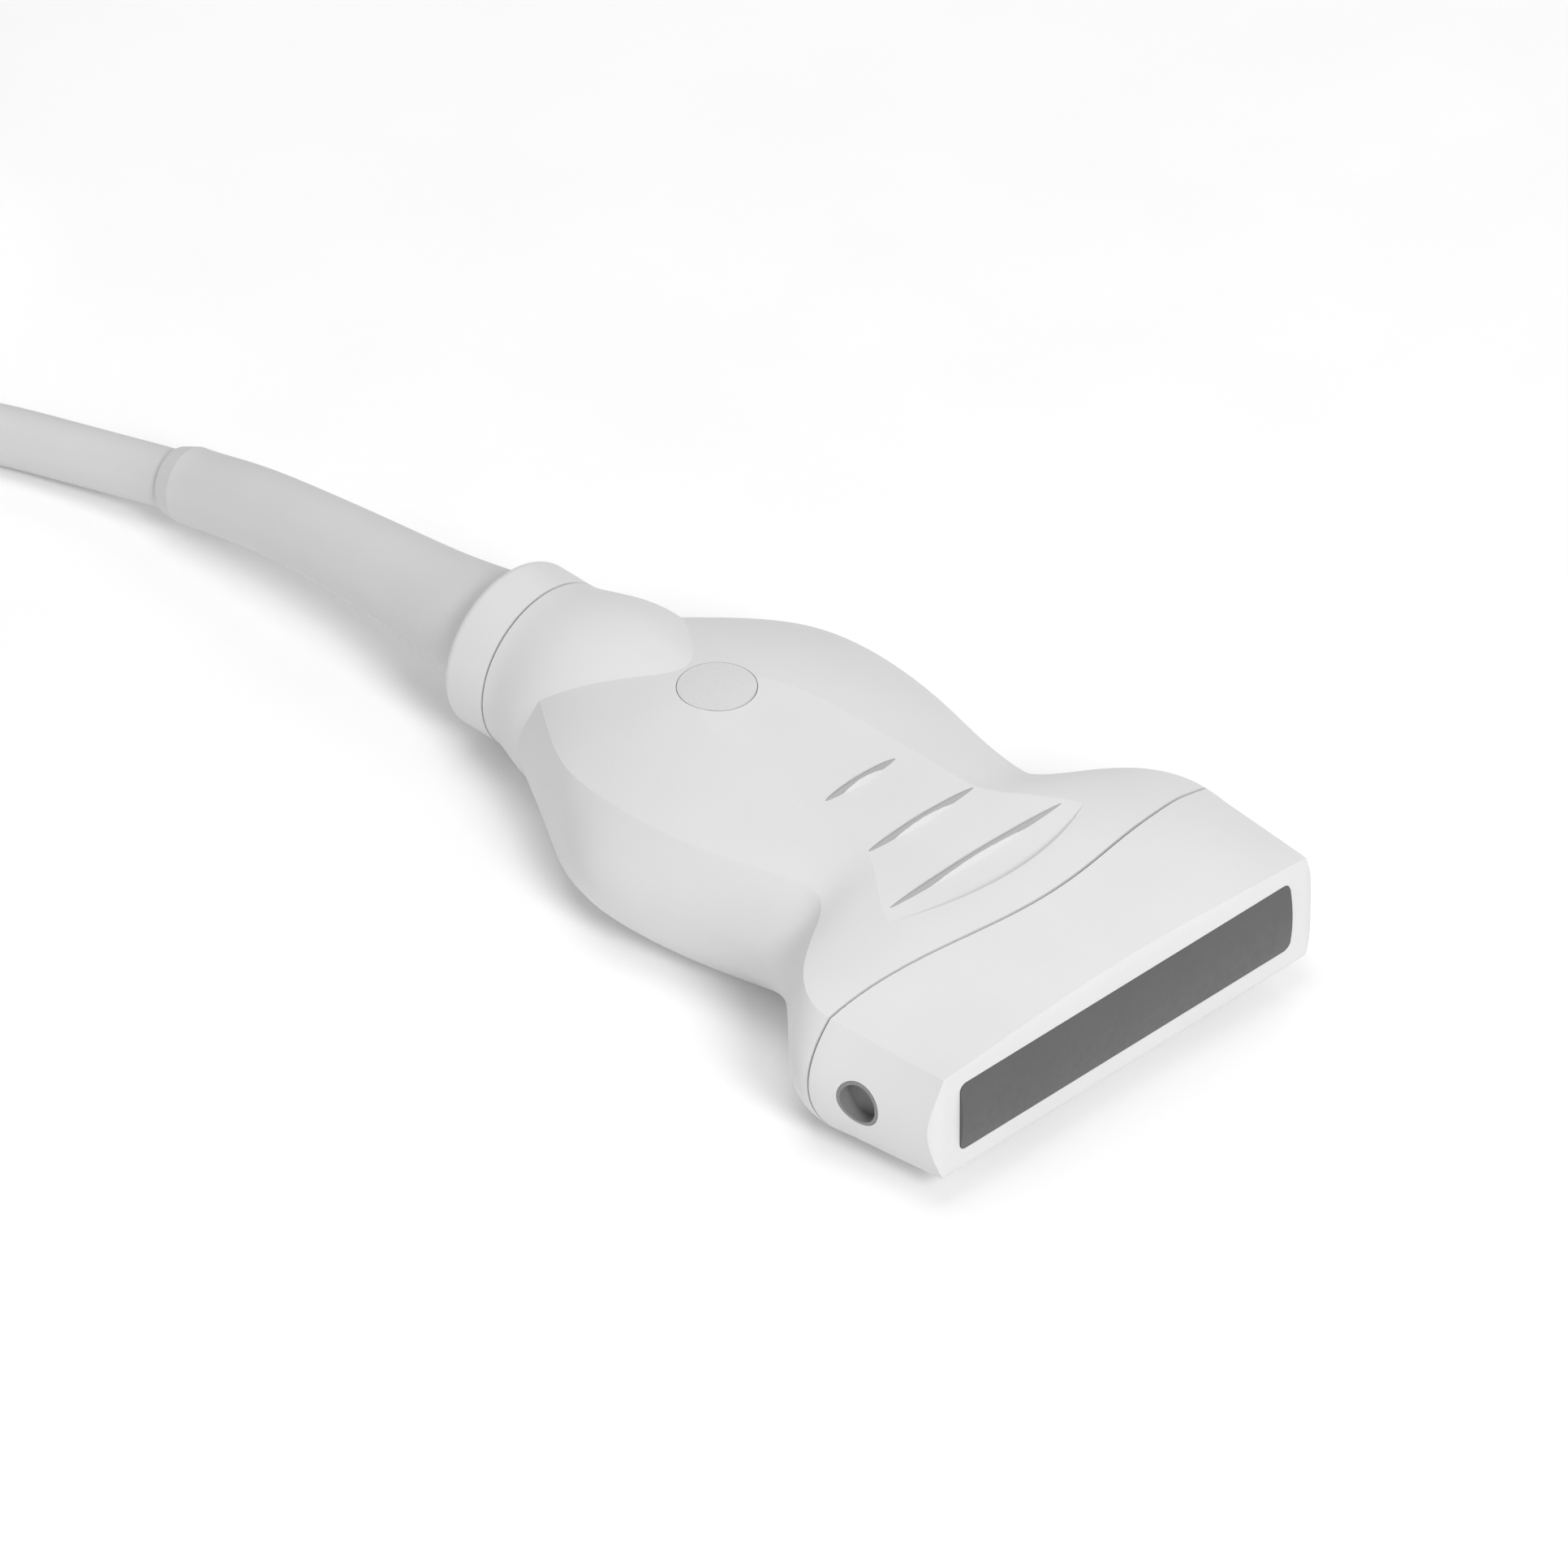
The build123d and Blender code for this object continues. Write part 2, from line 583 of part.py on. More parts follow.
def ridge(ridge_station, length):
    """Slim spindle lying across the thumb rest, swollen in the middle."""
    drop = math.tan(math.radians(SCOOP_SLOPE)) * (SCOOP_STATION - ridge_station)
    swell = ThreePointArc((-length / 2, 0), (0, RIDGE_BULGE), (length / 2, 0))
    profile = make_face([swell, Line((length / 2, 0), (-length / 2, 0))])
    return Pos(0, ridge_station, SCOOP_HEIGHT - drop - RIDGE_SINK) * revolve(profile, axis=Axis.X)


upper = half(shell, Keep.TOP) - scoop
for ridge_station, length in zip(RIDGE_STATIONS, RIDGE_LENGTHS):
    upper += ridge(ridge_station, length)
upper -= inlay_place * Cylinder(INLAY_DIAMETER / 2, MID_HEIGHT, align=STANDING)
write("upper_shell", upper, probe_place)

lower = half(shell, Keep.BOTTOM)
for post in posts:
    lower += post & outer
write("lower_shell", lower, probe_place)

# Crimp ferrule, collar and the boot over the lead
ferrule = rod(FERRULE_RADIUS, ferrule_front, ferrule_back) - rod(CABLE_RADIUS + BORE_FIT, 0, REACH)
write("crimp_ferrule", ferrule, probe_place)

collar_front = NECK_END + COLLAR_GAP
collar_radius = NECK_END_DIAMETER / 2
collar_rear_radius = COLLAR_REAR_DIAMETER / 2
collar_bore = COLLAR_SPIGOT_RADIUS + FIT
lip_bore = BOOT_LARGE_DIAMETER / 2 + FIT
lip_front = COLLAR_END - COLLAR_LIP
shoulder = COLLAR_END - (collar_radius - collar_rear_radius)
collar_half = make_face(
    [
        Line((collar_bore, collar_front), (collar_radius, collar_front)),
        Line((collar_radius, collar_front), (collar_radius, shoulder)),
        RadiusArc((collar_radius, shoulder), (collar_rear_radius, COLLAR_END), shoulder - COLLAR_END),
        Line((collar_rear_radius, COLLAR_END), (lip_bore, COLLAR_END)),
        Line((lip_bore, COLLAR_END), (lip_bore, lip_front)),
        Line((lip_bore, lip_front), (collar_bore, lip_front)),
        Line((collar_bore, lip_front), (collar_bore, collar_front)),
    ]
)
write("collar", revolve(collar_half, axis=Axis.Y), probe_place)

lead_path = cord_path(LEAD_ROUTE)
path_start = LEAD_ROUTE[0][1] + MID_STATION
flange_back = lip_front - FIT - path_start
flange_front = flange_back - BOOT_FLANGE
boot_root = COLLAR_END - path_start
boot_end = boot_root + BOOT_LENGTH
large = BOOT_LARGE_DIAMETER / 2
small = BOOT_SMALL_DIAMETER / 2
boot_sizes = [(flange_back - FIT, large)]
for along, drop in BOOT_SHARES:
    boot_sizes.append((boot_root + BOOT_LENGTH * along, large - (large - small) * drop))
boot_sizes.append((boot_end - BOOT_STEP, small))
lead = tube(lead_path, CABLE_RADIUS)
lead_bore = tube(lead_path, CABLE_RADIUS + BORE_FIT)
boot = taper(lead_path, boot_sizes)
boot += taper(lead_path, [(flange_front, COLLAR_SPIGOT_RADIUS), (flange_back, COLLAR_SPIGOT_RADIUS)])
boot += taper(lead_path, [(boot_end - BOOT_STEP, small), (boot_end, (small + CABLE_RADIUS) / 2)])
boot -= lead_bore
write("strain_relief_boot", boot)

# Lead, coil, tie and tail
coil_bottom = TIE_THICKNESS
coil_middle = COIL_INNER_RADIUS + COIL_WIDTH / 2
coil_place = Pos(COIL_X, COIL_Y, coil_bottom + COIL_HEIGHT / 2)
ring_section = Plane.XZ * Pos(coil_middle, 0) * RectangleRounded(COIL_WIDTH, COIL_HEIGHT, COIL_EDGE)
coil = coil_place * revolve(ring_section, axis=Axis.Z)
write("cable_coil", coil)
write("cable_run", lead - coil)
tail_path = cord_path(TAIL_ROUTE)
tail = tube(tail_path, CABLE_RADIUS)
write("cable_tail", (tail - coil).solids().sort_by(SortBy.VOLUME)[-1])

tie_inside = math.sqrt(COIL_INNER_RADIUS**2 - (TIE_WIDTH / 2) ** 2) - TIE_FIT
tie_outside = COIL_OUTER_RADIUS + TIE_FIT
tie_hole = tie_outside - tie_inside
tie_x = COIL_X + (tie_inside + tie_outside) / 2
tie_section = RectangleRounded(tie_hole + 2 * TIE_THICKNESS, COIL_HEIGHT + 2 * TIE_THICKNESS, COIL_EDGE)
tie_section -= RectangleRounded(tie_hole, COIL_HEIGHT, COIL_EDGE - TIE_THICKNESS)
tie_plane = Plane(origin=(tie_x, COIL_Y, coil_bottom + COIL_HEIGHT / 2), x_dir=(1, 0, 0), z_dir=(0, -1, 0))
write("coil_tie", extrude(tie_plane * tie_section, TIE_WIDTH / 2, both=True))

# Plug: two shells round a small board, with a tongue of contact strips in front
plug_mid = PLUG_HEIGHT / 2
plug_front = PLUG_Y + PLUG_LENGTH
plug_plan = Pos(PLUG_X, PLUG_Y + PLUG_LENGTH / 2) * RectangleRounded(PLUG_WIDTH, PLUG_LENGTH, PLUG_CORNER)
plug_body = extrude(plug_plan, PLUG_HEIGHT)
plug_body = fillet(plug_body.faces().filter_by(Axis.Z).edges(), PLUG_EDGE)


def plug_block(width, height, back, front, z=plug_mid):
    """Box inside the plug between two depths along the lead."""
    return Pos(PLUG_X, (back + front) / 2, z) * Box(width, front - back, height)


inside_width = PLUG_WIDTH - 2 * PLUG_WALL
inside_height = PLUG_HEIGHT - 2 * PLUG_WALL
cable_end = TAIL_ROUTE[-1][1]
board_end = cable_end + PLUG_BOARD_LENGTH
plug_shell = plug_body - plug_block(inside_width, inside_height, cable_end, plug_front - PLUG_WALL)
plug_shell += plug_block(inside_width, inside_height, board_end - PLUG_WALL, board_end)
plug_shell -= plug_block(inside_width + FIT, PLUG_BOARD_THICKNESS, cable_end, board_end)
plug_shell -= plug_block(TONGUE_WIDTH + 2 * FIT, TONGUE_HEIGHT + 2 * FIT, board_end, plug_front + PLUG_WALL)
plug_shell -= tube(tail_path, CABLE_RADIUS + BORE_FIT)
plug_split = Plane(origin=(0, 0, plug_mid))
plug_upper = split(plug_shell, bisect_by=plug_split, keep=Keep.TOP)
plug_lower = split(plug_shell, bisect_by=plug_split, keep=Keep.BOTTOM)

screw_bottom = PLUG_SCREW_SINK
screw_y = (PLUG_Y + cable_end) / 2
plug_screws = []
for side in (-1, 1):
    place = Pos(PLUG_X + side * PLUG_SCREW_SPACING / 2, screw_y, 0)
    head = Pos(0, 0, screw_bottom) * Cylinder(PLUG_SCREW_HEAD_RADIUS, PLUG_SCREW_HEAD_HEIGHT, align=STANDING)
    shank = Pos(0, 0, screw_bottom) * Cylinder(PLUG_SCREW_RADIUS, PLUG_SCREW_LENGTH, align=STANDING)
    plug_screws.append((place * (head + shank)).solid())
    head_room = Cylinder(PLUG_SCREW_HEAD_RADIUS + FIT, screw_bottom + PLUG_SCREW_HEAD_HEIGHT, align=STANDING)
    shank_room = Cylinder(PLUG_SCREW_RADIUS + FIT, screw_bottom + PLUG_SCREW_LENGTH + FIT, align=STANDING)
    plug_lower -= place * (head_room + shank_room)
    plug_upper -= place * shank_room
write("plug_upper_shell", plug_upper)
write("plug_lower_shell", plug_lower)
write("plug_screws", Compound(plug_screws))
plug_board = plug_block(inside_width - FIT, PLUG_BOARD_THICKNESS, cable_end + FIT, board_end)
write("plug_board", plug_board)
tongue = plug_block(TONGUE_WIDTH, TONGUE_HEIGHT, board_end, plug_front + TONGUE_REACH)
write("contact_tongue", tongue)
strip_end = plug_front + TONGUE_REACH - STRIP_PITCH
strips = []
for index in range(STRIP_COUNT):
    strip_x = (index - (STRIP_COUNT - 1) / 2) * STRIP_PITCH
    for side in (-1, 1):
        strip_z = plug_mid + side * (TONGUE_HEIGHT + STRIP_THICKNESS) / 2
        strip = plug_block(STRIP_WIDTH, STRIP_THICKNESS, plug_front + FIT, strip_end, strip_z)
        strips.append((Pos(strip_x, 0, 0) * strip).solid())
write("contact_strips", Compound(strips))

plug_boot_start = tail_path.length - (cable_end - PLUG_Y) - PLUG_BOOT_LENGTH
plug_boot_end = tail_path.length - (cable_end - PLUG_Y)
plug_boot = taper(tail_path, [(plug_boot_start, small), (plug_boot_end, PLUG_BOOT_DIAMETER / 2)])
write("plug_boot", plug_boot - tube(tail_path, CABLE_RADIUS + BORE_FIT))
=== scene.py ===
# %% [markdown]
# # A linear-array ultrasound probe
#
# The probe lies on a white table as in a catalogue picture: a wide flat nose with a dark lens strip, a
# waisted grip, a round neck and a soft sleeve where the lead leaves it. The solids come from a CAD model
# that is already the right size, so this lesson gives them their surfaces, winds the lead as one smooth
# curve, and sets the light and the camera.

# %% Load the CAD model
import math

import bmesh
import bpy
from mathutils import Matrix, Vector


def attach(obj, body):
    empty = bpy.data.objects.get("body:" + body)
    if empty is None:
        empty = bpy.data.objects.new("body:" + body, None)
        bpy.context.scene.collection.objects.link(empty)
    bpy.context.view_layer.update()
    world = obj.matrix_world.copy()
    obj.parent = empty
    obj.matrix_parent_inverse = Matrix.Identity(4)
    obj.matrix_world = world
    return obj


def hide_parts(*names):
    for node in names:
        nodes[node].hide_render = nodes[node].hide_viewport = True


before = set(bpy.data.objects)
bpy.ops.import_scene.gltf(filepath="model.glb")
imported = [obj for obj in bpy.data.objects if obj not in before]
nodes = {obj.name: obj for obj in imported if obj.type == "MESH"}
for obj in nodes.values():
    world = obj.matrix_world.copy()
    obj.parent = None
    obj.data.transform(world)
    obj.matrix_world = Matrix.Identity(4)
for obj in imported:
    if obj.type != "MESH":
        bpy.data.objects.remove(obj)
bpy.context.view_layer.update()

# %% [markdown]
# ## The camera
#
# The picture is drawn almost without perspective, from above the probe's front left corner. A camera with
# a very long lens, far away, gives the same view. Its aim is worked out from one known point, the middle
# of the lens face, and from where that point falls in the frame.

# %% Camera
SIGHT_ELEVATION = math.radians(37.4)
SIGHT_DISTANCE = 4.5
FRAME_WIDTH = 0.17386
LENS_FACE = Vector((0.0, -0.0485, 0.0108))
LENS_FACE_RIGHT = 0.03784
LENS_FACE_BELOW = 0.02582

sight_right = Vector((1.0, -1.0, 0.0)).normalized()
sight_back = Vector((-math.cos(SIGHT_ELEVATION) / math.sqrt(2.0),
                     -math.cos(SIGHT_ELEVATION) / math.sqrt(2.0),
                     math.sin(SIGHT_ELEVATION)))
sight_up = sight_back.cross(sight_right)

camera_data = bpy.data.cameras.new("camera")
camera_data.sensor_width = 36.0
camera_data.lens = camera_data.sensor_width * SIGHT_DISTANCE / FRAME_WIDTH
camera_data.clip_end = 50.0
camera = bpy.data.objects.new("camera", camera_data)
aim = LENS_FACE - sight_right * LENS_FACE_RIGHT + sight_up * LENS_FACE_BELOW
camera.location = aim + sight_back * SIGHT_DISTANCE
camera.rotation_euler = (-sight_back).to_track_quat("-Z", "Y").to_euler()
bpy.context.collection.objects.link(camera)
bpy.context.scene.camera = camera
bpy.context.scene.view_settings.view_transform = "Standard"
print("lens", round(camera_data.lens), "mm")

# %% [markdown]
# ## The lead's line
#
# The lead is one fixed length of soft cable. It leaves the sleeve, sinks to the table, and what the picture
# doesn't show is wound into a neat round coil behind the probe, as for storage. A NURBS curve is right for
# it: the route's points pull the line towards them and it never kinks. The coil is more points of the same
# curve, twelve to a turn. The turns climb the inside of the bundle and come down its outside, so that each
# lies on another one, and a short list says at which point the lead moves on to its next place.

# %% The route's points
LEAD_ROUTE = [
    (0.0, 0.0355, 0.0108), (0.0, 0.0535, 0.0108), (0.0, 0.0695, 0.0105), (0.0, 0.0855, 0.0090),
    (-0.0004, 0.0995, 0.0062), (-0.0028, 0.1125, 0.0041), (-0.0070, 0.1255, 0.0035),
    (-0.0145, 0.1385, 0.0035), (-0.0250, 0.1495, 0.0036), (-0.0360, 0.1595, 0.0039),
    (-0.0442, 0.1708, 0.0043),
]
TAIL_ROUTE = [
    (-0.0442, 0.1708, 0.0113), (-0.0478, 0.1910, 0.0113), (-0.0456, 0.2100, 0.0104),
    (-0.0398, 0.2245, 0.0092), (-0.0348, 0.2365, 0.0090), (-0.0330, 0.2475, 0.0090),
    (-0.0330, 0.2580, 0.0090),
]
CABLE_DIAMETER = 0.0070

COIL_CENTRE = (-0.0090, 0.1895)
COIL_INNER = 0.0315
COIL_OUTER = 0.0385
COIL_LAYERS = [0.0043, 0.0113, 0.0183, 0.0253]
COIL_START = math.radians(208.0)
TURN_POINTS = 12
COIL_TURNS = 7
COIL_MOVES = [
    (9, COIL_INNER, COIL_LAYERS[0]), (21, COIL_INNER, COIL_LAYERS[1]), (33, COIL_INNER, COIL_LAYERS[2]),
    (45, COIL_INNER, COIL_LAYERS[3]), (57, COIL_OUTER, COIL_LAYERS[3]), (62, COIL_OUTER, COIL_LAYERS[2]),
    (74, COIL_OUTER, COIL_LAYERS[1]),
]
MOVE_POINTS = 3


def coil_points():
    """Control points of the turns, from the route's last point to the tail's first."""
    step = 2.0 * math.pi / TURN_POINTS
    reach = 1.0 / math.cos(step / 2.0)
    points = []
    for number in range(1, TURN_POINTS * COIL_TURNS):
        radius, height = COIL_OUTER, COIL_LAYERS[0]
        for start, next_radius, next_height in COIL_MOVES:
            moved = min(1.0, max(0.0, (number - start) / MOVE_POINTS))
            radius += (next_radius - radius) * moved
            height += (next_height - height) * moved
        angle = COIL_START - step * number
        points.append((COIL_CENTRE[0] + radius * reach * math.cos(angle),
                       COIL_CENTRE[1] + radius * reach * math.sin(angle), height))
    return points


lead_points = LEAD_ROUTE + coil_points() + TAIL_ROUTE
print(len(lead_points), "points along the lead")

# %% The lead as one curve
lead_data = bpy.data.curves.new("lead", "CURVE")
lead_data.dimensions = "3D"
lead_data.resolution_u = 6
lead_data.bevel_depth = CABLE_DIAMETER / 2.0
lead_data.bevel_resolution = 6
lead_data.use_fill_caps = True
lead_spline = lead_data.splines.new("NURBS")
lead_spline.points.add(len(lead_points) - 1)
for control, point in zip(lead_spline.points, lead_points):
    control.co = (*point, 1.0)
lead_spline.order_u = 3
lead_spline.use_endpoint_u = True
lead = bpy.data.objects.new("lead", lead_data)
bpy.context.collection.objects.link(lead)

# %% [markdown]
# ## Moulded plastic
#
# The housing is injection-moulded plastic in a light hospital grey. A mould is spark-eroded, which leaves
# a very fine pebbled skin: too small to see as bumps, but it breaks up the gloss. A photograph of plastic
# could be wrapped round the form, but it would stretch at the nose. Two noises in the object's own
# coordinates don't: a broad one shifts the tone a little, as handling does, and a fine one gives both the
# pebbling and the change in gloss. Every plastic and rubber piece uses this recipe with its own colour.

# %% Helpers for finishes
NOISE_LOW = 0.3
NOISE_HIGH = 0.7
BUMP_STRENGTH = 0.5


def tint(red, green, blue):
    """Linear colour for an sRGB value from 0 to 255."""
    channels = []
    for value in (red, green, blue):
        share = value / 255.0
        channels.append(share / 12.92 if share <= 0.04045 else ((share + 0.055) / 1.055) ** 2.4)
    return (*channels, 1.0)


def noise(tree, place, scale, detail=2.0):
    """A cloudy pattern; the scale is in waves to the metre."""
    texture = tree.nodes.new("ShaderNodeTexNoise")
    texture.inputs["Scale"].default_value = scale
    texture.inputs["Detail"].default_value = detail
    tree.links.new(place, texture.inputs["Vector"])
    return texture.outputs["Fac"]


def spread(tree, value, low, high):
    """Maps a noise, which mostly stays between NOISE_LOW and NOISE_HIGH, to a range."""
    ranged = tree.nodes.new("ShaderNodeMapRange")
    ranged.inputs["From Min"].default_value = NOISE_LOW
    ranged.inputs["From Max"].default_value = NOISE_HIGH
    ranged.inputs["To Min"].default_value = low
    ranged.inputs["To Max"].default_value = high
    tree.links.new(value, ranged.inputs["Value"])
    return ranged.outputs["Result"]


def tones(tree, value, first, second):
    """Mixes two colours by a pattern."""
    mix = tree.nodes.new("ShaderNodeMix")
    mix.data_type = "RGBA"
    colours = [socket for socket in mix.inputs if socket.type == "RGBA"]
    colours[0].default_value = first
    colours[1].default_value = second
    tree.links.new(value, mix.inputs["Factor"])
    return next(socket for socket in mix.outputs if socket.type == "RGBA")


def relief(tree, shader, height, depth):
    """Raises the surface by a pattern, to a depth in metres."""
    bump = tree.nodes.new("ShaderNodeBump")
    bump.inputs["Strength"].default_value = BUMP_STRENGTH
    bump.inputs["Distance"].default_value = depth
    tree.links.new(height, bump.inputs["Height"])
    tree.links.new(bump.outputs["Normal"], shader.inputs["Normal"])


def blank_finish(name, coordinates="Object"):
    """A new material, its node tree and shader, and the coordinates that its patterns are placed by."""
    material = bpy.data.materials.new(name)
    material.use_nodes = True
    tree = material.node_tree
    place = tree.nodes.new("ShaderNodeTexCoord").outputs[coordinates]
    return material, tree, tree.nodes["Principled BSDF"], place


dressed = set()


def give(material, *names):
    """Puts a finish on CAD nodes."""
    for name in names:
        slots = nodes[name].data.materials
        slots.clear()
        slots.append(material)
        dressed.add(name)


# %% Moulded plastic and rubber
HANDLING_SCALE = 45.0


def moulded(name, light, dark, roughness, pebble, depth):
    """Plastic or rubber from a textured mould; pebble is the grain's size in metres."""
    material, tree, shader, place = blank_finish(name)
    handling = spread(tree, noise(tree, place, HANDLING_SCALE, 3.0), 0.0, 1.0)
    tree.links.new(tones(tree, handling, dark, light), shader.inputs["Base Color"])
    skin = noise(tree, place, 1.0 / pebble, 1.0)
    tree.links.new(spread(tree, skin, *roughness), shader.inputs["Roughness"])
    relief(tree, shader, skin, depth)
    return material


housing_grey = moulded("housing_grey", tint(232, 232, 232), tint(227, 227, 227), (0.40, 0.52),
                       0.00035, 0.00003)
give(housing_grey, "nose_piece", "upper_shell", "lower_shell", "collar")
inlay_grey = moulded("inlay_grey", tint(226, 226, 226), tint(221, 221, 221), (0.26, 0.32), 0.0003, 0.000004)
give(inlay_grey, "inlay_disc")
plug_grey = moulded("plug_grey", tint(205, 206, 207), tint(198, 199, 200), (0.42, 0.54), 0.0004, 0.00003)
give(plug_grey, "plug_upper_shell", "plug_lower_shell")
print(len(dressed), "hard plastic pieces")

# %% [markdown]
# ## Rubber pieces
#
# The lens is cast silicone: smooth, dark, and a little softer in its gloss than the housing. The bush in the
# nose's side, that a needle guide or a cover clips into, is given a dark grey that is painted shade for its
# recess, and its floor also sits in the recess's real shade. The seal in the seam, the sleeve over the lead
# and the lead's jacket are softer greys.

# %% Lens, bush, seal, sleeve and jacket
LENS_SPECULAR = 0.35
lens_rubber = moulded("lens_rubber", tint(97, 97, 97), tint(91, 91, 91), (0.38, 0.50), 0.0009, 0.00002)
lens_rubber.node_tree.nodes["Principled BSDF"].inputs["Specular IOR Level"].default_value = LENS_SPECULAR
give(lens_rubber, "acoustic_lens")
# The bush's dark grey is painted shade: it stands for the shade inside its recess.
bush_painted_shade = moulded("bush_painted_shade", tint(140, 140, 140), tint(132, 132, 132), (0.45, 0.55), 0.0004, 0.00003)
give(bush_painted_shade, "locator_bush")
seal_grey = moulded("seal_grey", tint(148, 148, 148), tint(140, 140, 140), (0.55, 0.65), 0.0005, 0.00003)
give(seal_grey, "nose_seal")
sleeve_grey = moulded("sleeve_grey", tint(223, 223, 223), tint(216, 216, 216), (0.48, 0.60), 0.0005, 0.00004)
give(sleeve_grey, "strain_relief_boot", "plug_boot")
lead_grey = moulded("lead_grey", tint(220, 220, 220), tint(213, 213, 213), (0.44, 0.54), 0.0006, 0.00002)
give(lead_grey, "cable_run", "cable_coil", "cable_tail")
lead_data.materials.append(lead_grey)
print(len(bpy.data.materials), "finishes so far")

# %% [markdown]
# ## Metals inside
#
# Foil, spreader, ferrule, screws and contacts are metal that was rolled or turned, so its fine scratches all
# run one way. The same noise, squeezed across the rolling direction and drawn out along it, gives that
# grain, and the Metallic socket makes the colour tint the reflections as metal does.

# %% Brushed metal
FINE_GRAIN = 9000.0
LONG_GRAIN = 250.0


def brushed(name, light, dark, roughness, along):
    """Rolled or turned metal with its grain drawn out along one axis."""
    material, tree, shader, place = blank_finish(name)
    stretch = tree.nodes.new("ShaderNodeMapping")
    stretch.inputs["Scale"].default_value = [LONG_GRAIN if axis == along else FINE_GRAIN for axis in "XYZ"]
    tree.links.new(place, stretch.inputs["Vector"])
    grain = noise(tree, stretch.outputs["Vector"], 1.0, 3.0)
    tree.links.new(tones(tree, spread(tree, grain, 0.0, 1.0), dark, light), shader.inputs["Base Color"])
    tree.links.new(spread(tree, grain, *roughness), shader.inputs["Roughness"])
    shader.inputs["Metallic"].default_value = 1.0
    return material


give(brushed("foil_copper", tint(214, 150, 112), tint(190, 124, 88), (0.24, 0.38), "X"), "ground_foil")
give(brushed("spreader_aluminium", tint(205, 207, 210), tint(182, 184, 188), (0.30, 0.45), "X"),
     "heat_spreader")
give(brushed("ferrule_metal", tint(196, 196, 194), tint(168, 168, 166), (0.28, 0.40), "X"), "crimp_ferrule")
give(brushed("screw_steel", tint(188, 190, 192), tint(150, 152, 155), (0.26, 0.40), "X"),
     "board_screws", "plug_screws")
give(brushed("contact_gold", tint(232, 196, 118), tint(210, 172, 92), (0.18, 0.30), "Y"), "contact_strips")
print(len(dressed), "pieces dressed")

# %% [markdown]
# ## The acoustic stack
#
# Behind the lens lie two matching layers, the ground foil, eighty slices of ceramic and a heavy backing. They
# are cast or pressed from powder, so the moulding recipe fits them too: the grain is coarser in the filled
# resins, and the ceramic is pale and matt.

# %% Resins and ceramic
give(moulded("matching_resin", tint(92, 96, 104), tint(78, 82, 90), (0.38, 0.50), 0.0003, 0.00002),
     "matching_layer_outer", "matching_layer_inner")
give(moulded("piezo_ceramic", tint(214, 200, 168), tint(200, 184, 150), (0.60, 0.72), 0.0001, 0.00001),
     "piezo_array")
give(moulded("backing_resin", tint(64, 66, 70), tint(48, 50, 54), (0.55, 0.70), 0.0004, 0.00004),
     "backing_block")
give(moulded("frame_plastic", tint(58, 60, 62), tint(48, 50, 52), (0.40, 0.52), 0.0004, 0.00003),
     "array_frame")
give(moulded("socket_plastic", tint(224, 216, 198), tint(214, 205, 186), (0.40, 0.50), 0.0003, 0.00002),
     "flex_socket_upper", "flex_socket_lower")
give(moulded("tongue_plastic", tint(48, 49, 51), tint(40, 41, 43), (0.36, 0.48), 0.0003, 0.00002),
     "contact_tongue")
print(len(dressed), "pieces dressed")

# %% [markdown]
# ## Tracks, wires and glass cloth
#
# A signal film carries fine copper tracks side by side, the bundle behind the board is a flat sheaf of thin
# coaxial wires, and a circuit board is glass cloth under green lacquer. Each could be modelled line by line,
# but they repeat at a fixed pitch, so a wave pattern does it: one set of bands for tracks and wires, two
# crossed sets for cloth.

# %% Bands and weaves
WAVE_UNIT = 2.0 * math.pi / 20.0
FILM_GRAIN = 1500.0
CLOTH_GRAIN = 1200.0


def bands(tree, place, pitch, direction):
    """Even bands across one axis, at a pitch in metres."""
    wave = tree.nodes.new("ShaderNodeTexWave")
    wave.bands_direction = direction
    wave.inputs["Scale"].default_value = WAVE_UNIT / pitch
    tree.links.new(place, wave.inputs["Vector"])
    return wave.outputs["Fac"]


def striped(name, gap, stripe, pitch, roughness, depth):
    """Tracks or wires that lie side by side across the probe."""
    material, tree, shader, place = blank_finish(name)
    lines = bands(tree, place, pitch, "X")
    tree.links.new(tones(tree, lines, gap, stripe), shader.inputs["Base Color"])
    tree.links.new(spread(tree, noise(tree, place, FILM_GRAIN), *roughness), shader.inputs["Roughness"])
    relief(tree, shader, lines, depth)
    return material


def woven(name, low, high, pitch, roughness, depth, coordinates):
    """Cloth of two crossed sets of threads."""
    material, tree, shader, place = blank_finish(name, coordinates)
    threads = tree.nodes.new("ShaderNodeMath")
    threads.operation = "MULTIPLY"
    tree.links.new(bands(tree, place, pitch, "X"), threads.inputs[0])
    tree.links.new(bands(tree, place, pitch, "Y"), threads.inputs[1])
    cloth = threads.outputs["Value"]
    tree.links.new(tones(tree, cloth, low, high), shader.inputs["Base Color"])
    tree.links.new(spread(tree, noise(tree, place, CLOTH_GRAIN), *roughness), shader.inputs["Roughness"])
    relief(tree, shader, cloth, depth)
    return material


give(striped("flex_film", tint(196, 128, 48), tint(216, 158, 84), 0.0006, (0.25, 0.38), 0.00002),
     "signal_flex_upper", "signal_flex_lower")
give(striped("coax_jacket", tint(96, 100, 108), tint(176, 180, 188), 0.00055, (0.40, 0.55), 0.00012),
     "coax_bundle")
give(woven("board_laminate", tint(20, 82, 52), tint(34, 104, 68), 0.0005, (0.30, 0.44), 0.00001, "Object"),
     "interconnect_board", "plug_board")
print(len(dressed), "pieces dressed")

